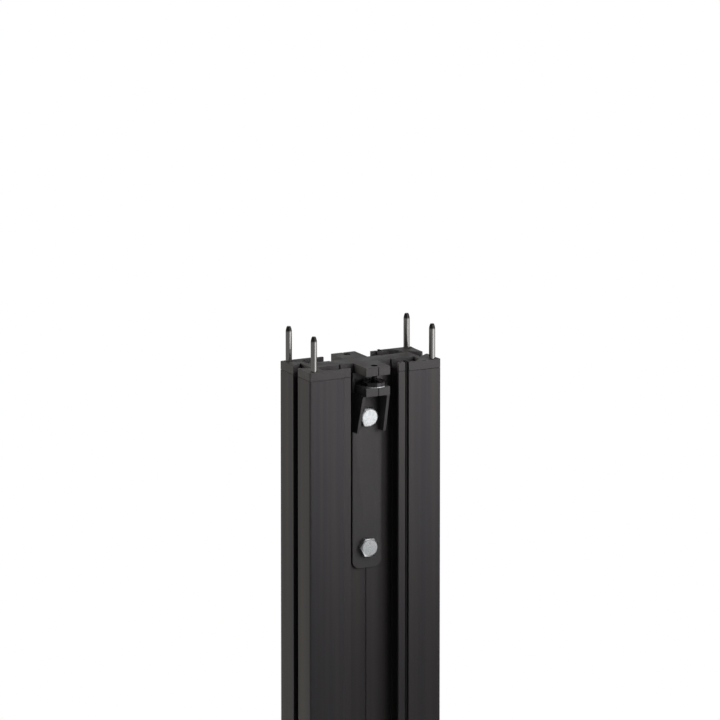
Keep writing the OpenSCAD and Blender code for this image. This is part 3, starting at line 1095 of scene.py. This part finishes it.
class TRUSS_OT_seal_strips(Operator):
    """Extrudes the two rubber seal strips: a ribbed foot and a rounded outer lip"""

    bl_idname = "truss.seal_strips"
    bl_label = "Seal strips"

    def execute(self, context):
        for side, outward in (("front", -1), ("back", 1)):
            node = f"seal_strip_{side}"
            low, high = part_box(node)
            middle = centre_of(node)
            half = (high.x - low.x) / 2
            shape = self.strip(half, high.y - low.y, high.z - low.z)
            foot = high.y if outward < 0 else low.y
            turn = Matrix.Diagonal((1, outward, 1, 1))
            move(shape, Matrix.Translation((middle.x, foot, low.z)) @ turn)
            finish(shape, node, "seal_rubber")
        return {"FINISHED"}

    def strip(self, half, depth, rise):
        """A strip that stands on 0, with its foot at Y = 0 and its lip at Y = depth."""
        # Two ribs stand out from a narrower neck, each about a sixth of the strip's depth.
        neck, rib = half * 0.72, depth * 0.16
        lip = depth - half
        flank = [(half, 0)]
        for number in range(2):
            base = rib * (1.6 * number + 0.5)
            flank += [(half, base), (neck, base + rib * 0.5), (neck, base + rib * 0.9)]
            flank += [(half, base + rib * 1.3)]
        crown = [
            (half * math.cos(turn), lip + half * math.sin(turn))
            for turn in [math.radians(15 * i) for i in range(12)]
        ]
        outline = flank + crown + [(-x, y) for x, y in reversed(flank)]
        shape = bmesh.new()
        face = shape.faces.new([shape.verts.new((x, y, 0)) for x, y in outline])
        made = bmesh.ops.extrude_face_region(shape, geom=[face])["geom"]
        upper = [g for g in made if isinstance(g, bmesh.types.BMVert)]
        bmesh.ops.translate(shape, verts=upper, vec=(0, 0, rise))
        bmesh.ops.remove_doubles(shape, verts=shape.verts, dist=SEAM_DISTANCE)
        return shape


# ---- The stage ----


def seen_directly(tree):
    """1 for rays of the camera, of gloss and through glass, 0 for those that light matt faces."""
    path = add_node(tree, "ShaderNodeLightPath").outputs
    opaque = maths(tree, "MAXIMUM", path["Is Camera Ray"], path["Is Glossy Ray"])[0]
    return maths(tree, "MAXIMUM", opaque, path["Is Transmission Ray"])[0]


class TRUSS_OT_stage(Operator):
    """Sets the camera, a white floor and room, and the soft lamps"""

    bl_idname = "truss.stage"
    bl_label = "Studio stage"

    def execute(self, context):
        stage = context.scene.truss_stage
        context.scene.view_settings.view_transform = "Standard"
        self.camera(context, stage)
        self.floor()
        self.room(context, stage)
        lamps = {row[0]: self.lamp(*row, getattr(stage, row[0])) for row in LAMPS}
        for name in UNSEEN_IN_GLOSS:
            lamps[name].visible_glossy = False
        lamps["key_card"].visible_diffuse = False
        lamps["fill_lamp"].data.color = linear(FILL_COLOUR)
        return {"FINISHED"}

    def camera(self, context, stage):
        """A long lens that looks at the middle of the upper end face."""
        # The middle of the photograph lies a hair off the middle of that face.
        target = Vector((-0.5 * MM, 0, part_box("end_plate_top")[1].z - 0.15 * MM))
        across = math.cos(stage.elevation)
        back = Vector(
            (
                math.sin(stage.azimuth) * across,
                -math.cos(stage.azimuth) * across,
                math.sin(stage.elevation),
            )
        )
        data = bpy.data.cameras.new("camera")
        data.lens = stage.lens
        data.clip_start, data.clip_end = 0.1, 100
        camera = bpy.data.objects.new("camera", data)
        camera.location = target + back * stage.distance
        camera.rotation_mode = "QUATERNION"
        camera.rotation_quaternion = (-back).to_track_quat("-Z", "Y")
        context.scene.collection.objects.link(camera)
        context.scene.camera = camera

    def floor(self):
        """A round white table that shows white and still takes the section's shadow. It lies a
        hair below the section's end, and is clear from underneath."""
        shape = bmesh.new()
        drop = Matrix.Translation((0, 0, -TABLE_DROP))
        bmesh.ops.create_circle(
            shape, cap_ends=True, radius=TABLE_RADIUS, segments=96, matrix=drop
        )
        mesh = bpy.data.meshes.new("table")
        shape.to_mesh(mesh)
        shape.free()
        material = bpy.data.materials.new("matt_white_paper")
        material.use_nodes = True
        tree = material.node_tree
        tree.nodes.clear()
        paper = add_node(tree, "ShaderNodeBsdfDiffuse", values={"Color": (*[PAPER_GREY] * 3, 1)})
        glow_level = maths(tree, "MULTIPLY", seen_directly(tree), PAPER_GLOW)[0]
        glow = add_node(tree, "ShaderNodeEmission", links={"Strength": glow_level})
        both = add_node(
            tree,
            "ShaderNodeAddShader",
            links={0: paper.outputs[0], 1: glow.outputs[0]},
        )
        one_sided = add_node(
            tree,
            "ShaderNodeMixShader",
            links={
                0: add_node(tree, "ShaderNodeNewGeometry").outputs["Backfacing"],
                1: both.outputs[0],
                2: add_node(tree, "ShaderNodeBsdfTransparent").outputs[0],
            },
        )
        add_node(tree, "ShaderNodeOutputMaterial", links={"Surface": one_sided.outputs[0]})
        mesh.materials.append(material)
        table = bpy.data.objects.new("table", mesh)
        bpy.context.scene.collection.objects.link(table)

    def room(self, context, stage):
        """A white backdrop behind the section, and a dim room everywhere else. The camera
        sees white all round; gloss sees the backdrop; matt faces are lit at the room's level."""
        world = bpy.data.worlds.new("studio_room")
        world.use_nodes = True
        tree = world.node_tree
        tree.nodes.clear()
        behind = (-math.sin(stage.azimuth), math.cos(stage.azimuth), BACKDROP_RISE)
        direction = add_node(tree, "ShaderNodeTexCoord").outputs["Generated"]
        toward = maths(tree, "DOT_PRODUCT", direction, behind, vector=True)["Value"]
        backdrop = spread(tree, toward, stage.room_gloss, 1.0, *BACKDROP_FADE)
        path = add_node(tree, "ShaderNodeLightPath").outputs
        glossy = add_node(
            tree,
            "ShaderNodeMix",
            properties={"data_type": "FLOAT"},
            values={2: stage.room_light},
            links={0: path["Is Glossy Ray"], 3: backdrop},
        ).outputs[0]
        clear = maths(tree, "MAXIMUM", path["Is Camera Ray"], path["Is Transmission Ray"])[0]
        strength = add_node(
            tree,
            "ShaderNodeMix",
            properties={"data_type": "FLOAT"},
            values={3: 1.0},
            links={0: clear, 2: glossy},
        ).outputs[0]
        light = add_node(
            tree,
            "ShaderNodeBackground",
            values={"Color": (1, 1, 1, 1)},
            links={"Strength": strength},
        )
        add_node(tree, "ShaderNodeOutputWorld", links={"Surface": light.outputs[0]})
        context.scene.world = world

    def lamp(self, name, azimuth, distance, height, aim, size, beam, watts):
        """A soft lamp that stands at an azimuth, distance and height, and faces the height
        aim on the section's axis."""
        turn = math.radians(azimuth)
        spot = Vector((math.sin(turn) * distance, -math.cos(turn) * distance, height))
        data = bpy.data.lights.new(name, "AREA")
        data.shape = "RECTANGLE"
        data.size, data.size_y = size
        data.spread = math.radians(beam)
        data.energy = watts
        lamp = bpy.data.objects.new(name, data)
        lamp.visible_camera = False
        lamp.location = spot
        lamp.rotation_mode = "QUATERNION"
        lamp.rotation_quaternion = (Vector((0, 0, aim)) - spot).to_track_quat("-Z", "Y")
        bpy.context.scene.collection.objects.link(lamp)
        return lamp


class TRUSS_PT_panel(Panel):
    """Lists the pieces in the order in which they are made"""

    bl_label = "Truss section"
    bl_idname = "TRUSS_PT_panel"
    bl_space_type = "VIEW_3D"
    bl_region_type = "UI"
    bl_category = "Truss"

    def draw(self, context):
        layout = self.layout
        for operator in OPERATORS:
            layout.operator(operator.bl_idname)
        for group_name, group in GROUPS.items():
            box = layout.box()
            for name in group.__annotations__:
                box.prop(getattr(context.scene, group_name), name)


OPERATORS = (
    TRUSS_OT_beam,
    TRUSS_OT_end_plates,
    TRUSS_OT_brackets,
    TRUSS_OT_alignment_pins,
    TRUSS_OT_bolts,
    TRUSS_OT_nuts_and_washers,
    TRUSS_OT_coupling_screws,
    TRUSS_OT_thread_inserts,
    TRUSS_OT_seal_strips,
    TRUSS_OT_stage,
)
GROUPS = {
    "truss_sizes": TrussSizes,
    "truss_finishes": TrussFinishes,
    "truss_stage": TrussStage,
}


def register():
    for group in GROUPS.values():
        bpy.utils.register_class(group)
    for operator in OPERATORS:
        bpy.utils.register_class(operator)
    bpy.utils.register_class(TRUSS_PT_panel)
    for name, group in GROUPS.items():
        setattr(bpy.types.Scene, name, PointerProperty(type=group))


def unregister():
    for name in GROUPS:
        delattr(bpy.types.Scene, name)
    bpy.utils.unregister_class(TRUSS_PT_panel)
    for operator in reversed(OPERATORS):
        bpy.utils.unregister_class(operator)
    for group in reversed(list(GROUPS.values())):
        bpy.utils.unregister_class(group)


def main():
    """Makes every piece and the stage."""
    register()
    for operator in OPERATORS:
        group, name = operator.bl_idname.split(".")
        getattr(getattr(bpy.ops, group), name)()


if __name__ == "__main__":
    main()
